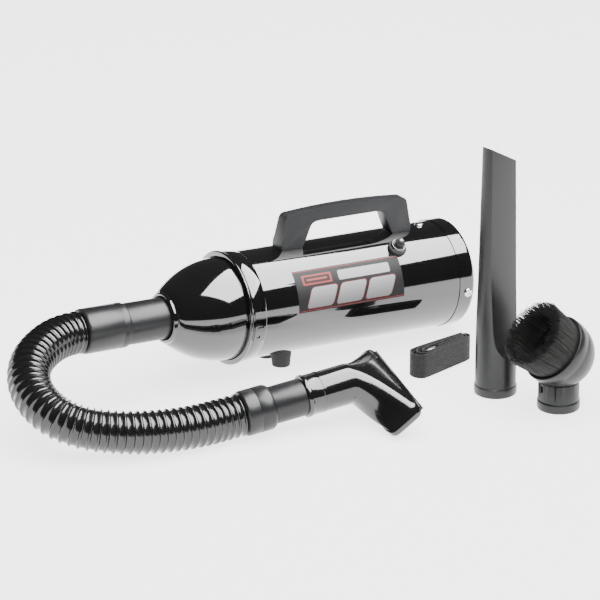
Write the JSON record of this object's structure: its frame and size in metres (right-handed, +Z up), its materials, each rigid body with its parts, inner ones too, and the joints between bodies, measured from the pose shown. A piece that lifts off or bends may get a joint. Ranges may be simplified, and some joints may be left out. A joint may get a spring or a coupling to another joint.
{
  "type": "portable canister vacuum cleaner",
  "caption": "Hand-carried canister vacuum with a round steel body, arched handle, ribbed hose, nozzle, crevice tool, dusting brush and shoulder strap.",
  "frame": {"origin": "the floor, at the middle of the footprint of the canister, the standing tools and the strap, without the hose set", "axes": "+Z up; the canister lies along X with its nose towards -X; -Y is the side with the switch, the label and the latch plate"},
  "size_m": [0.5476, 0.3396, 0.2586],
  "materials": {
    "gloss_black_paint": "high gloss",
    "plated_steel": "bright plated",
    "satin_grey_plastic": "satin",
    "black_plastic": "satin",
    "gloss_black_plastic": "gloss",
    "black_rubber": "matte",
    "printed_label": "gloss print",
    "card": "plain card",
    "filter_paper": "plain paper",
    "filter_foam": "open foam",
    "cast_aluminium": "cast",
    "laminated_steel": "laminated",
    "copper": "varnished",
    "bearing_steel": "ground",
    "brass": "pressed",
    "carbon": "pressed carbon",
    "nylon_bristle": "dense bristle",
    "pivot_steel": "ground",
    "webbing": "woven"
  },
  "bodies": {
    "canister": {"motor_housing": "gloss_black_paint", "end_cap": "gloss_black_paint", "cap_screws": "plated_steel", "cord_gland": "black_rubber", "exhaust_filter": "filter_foam", "carry_handle": "satin_grey_plastic", "handle_screws": "plated_steel", "rear_screw": "plated_steel", "side_label": "printed_label", "front_feet": "black_rubber", "foot_screws": "plated_steel", "switch_pad": "black_rubber", "switch_nut": "plated_steel", "switch_body": "black_plastic", "motor_mount_ring": "black_rubber", "fan_housing": "gloss_black_plastic", "diffuser": "cast_aluminium", "front_bracket": "cast_aluminium", "field_core": "laminated_steel", "field_coils": "copper", "rear_bracket": "cast_aluminium", "motor_bearings": "bearing_steel", "brush_holders": "brass", "carbon_brushes": "carbon", "brush_springs": "plated_steel"},
    "bayonet_ring": {"lock_ring": "gloss_black_paint", "latch_plate": "plated_steel"},
    "nose": {"nose_cone": "gloss_black_paint", "cone_seal": "black_rubber", "bag_collar": "card", "dust_bag": "filter_paper"},
    "hose": {"nose_connector": "black_plastic", "upper_cuff": "black_plastic", "hose_tube": "gloss_black_plastic", "lower_cuff": "black_plastic", "wand_end": "black_plastic"},
    "nozzle": {"nozzle_body": "gloss_black_plastic", "lint_strip": "black_rubber"},
    "rotor": {"motor_shaft": "plated_steel", "armature_core": "laminated_steel", "commutator": "copper", "impeller": "cast_aluminium"},
    "switch_arm": {"switch_lever": "plated_steel"},
    "crevice": {"crevice_tool": "black_plastic"},
    "brush_base": {"brush_neck": "black_plastic"},
    "brush_head": {"brush_cup": "black_plastic", "bristle_ring": "black_plastic", "brush_bristles": "nylon_bristle", "brush_pivots": "pivot_steel"},
    "strap": {"shoulder_strap": "webbing"}
  },
  "joints": [
    {"name": "ring_twist", "type": "hinge", "parent": "canister", "child": "bayonet_ring", "pos_m": [-0.10386, 0.1128, 0.06825], "axis": [0.9987, 0, -0.0511], "range_deg": [0, 15]},
    {"name": "cone_slide", "type": "slide", "parent": "canister", "child": "nose", "axis": [-0.9987, 0, 0.0511], "range_m": [0, 0.12]},
    {"name": "hose_pull", "type": "slide", "parent": "nose", "child": "hose", "axis": [-0.9987, 0, 0.0511], "range_m": [0, 0.06]},
    {"name": "nozzle_twist", "type": "hinge", "parent": "hose", "child": "nozzle", "pos_m": [-0.17186, -0.0376, 0.0236], "axis": [0.9824, -0.1429, 0.1199], "range_deg": [-90, 90]},
    {"name": "rotor_spin", "type": "hinge", "parent": "canister", "child": "rotor", "pos_m": [-0.10386, 0.1128, 0.06825], "axis": [0.9987, 0, -0.0511], "continuous": true},
    {"name": "switch_tip", "type": "hinge", "parent": "canister", "child": "switch_arm", "pos_m": [0.08145, 0.0796, 0.10881], "axis": [-0.8162, 0.4609, 0.3484], "range_deg": [0, 18]},
    {"name": "crevice_lift", "type": "slide", "parent": "canister", "child": "crevice", "axis": [0, 0, 1], "range_m": [0, 0.2]},
    {"name": "brush_lift", "type": "slide", "parent": "canister", "child": "brush_base", "axis": [0, 0, 1], "range_m": [0, 0.2]},
    {"name": "brush_tilt", "type": "hinge", "parent": "brush_base", "child": "brush_head", "pos_m": [0.12964, -0.1353, 0.057], "axis": [0, 1, 0], "range_deg": [0, 99.8]},
    {"name": "strap_lift", "type": "slide", "parent": "canister", "child": "strap", "axis": [0, 0, 1], "range_m": [0, 0.15]}
  ]
}
